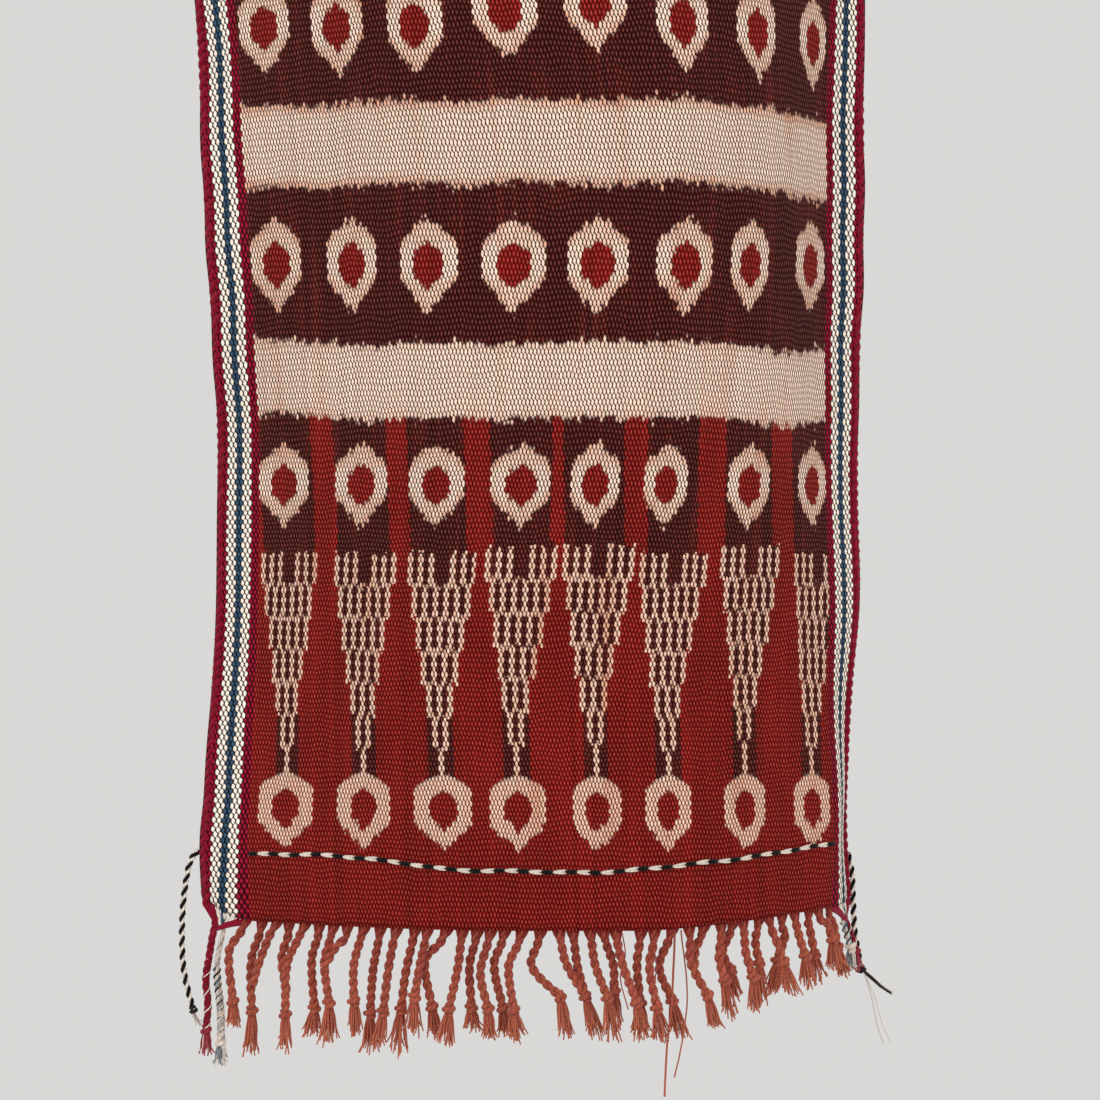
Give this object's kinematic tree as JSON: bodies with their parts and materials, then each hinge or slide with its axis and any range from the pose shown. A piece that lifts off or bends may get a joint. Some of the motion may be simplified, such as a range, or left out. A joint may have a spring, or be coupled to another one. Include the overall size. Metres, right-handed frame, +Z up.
{
  "type": "woven shawl hung over a round rod",
  "caption": "Long hand-woven shawl with striped borders, knotted fringe and corner braids, hung over a plain round wooden rod.",
  "frame": {"origin": "middle of the rod's axis, where the cloth is held", "axes": "+Z up along the hanging cloth, +X to the viewer's right along the rod, -Y towards the front half of the cloth"},
  "size_m": [0.44, 0.116, 0.9983],
  "materials": {
    "ikat_cloth": "matte warp-faced cotton weave",
    "fringe_cord": "matte twisted cotton",
    "crimson_cord": "matte twisted cotton",
    "pale_cord": "matte twisted cotton",
    "twine": "black and white cotton twist",
    "rod_wood": "smooth sanded wood"
  },
  "bodies": {
    "root": {"rod": "rod_wood", "rod_fold": "ikat_cloth", "front_panel": "ikat_cloth", "back_panel": "ikat_cloth", "front_twined_line": "twine", "back_twined_line": "twine", "front_fringe": "fringe_cord", "back_fringe": "fringe_cord", "front_left_crimson_braid": "crimson_cord", "front_left_pale_braid": "pale_cord", "front_left_twine_end": "twine", "front_right_crimson_braid": "crimson_cord", "front_right_pale_braid": "pale_cord", "front_right_twine_end": "twine", "back_left_crimson_braid": "crimson_cord", "back_left_pale_braid": "pale_cord", "back_left_twine_end": "twine", "back_right_crimson_braid": "crimson_cord", "back_right_pale_braid": "pale_cord", "back_right_twine_end": "twine"}
  },
  "joints": []
}
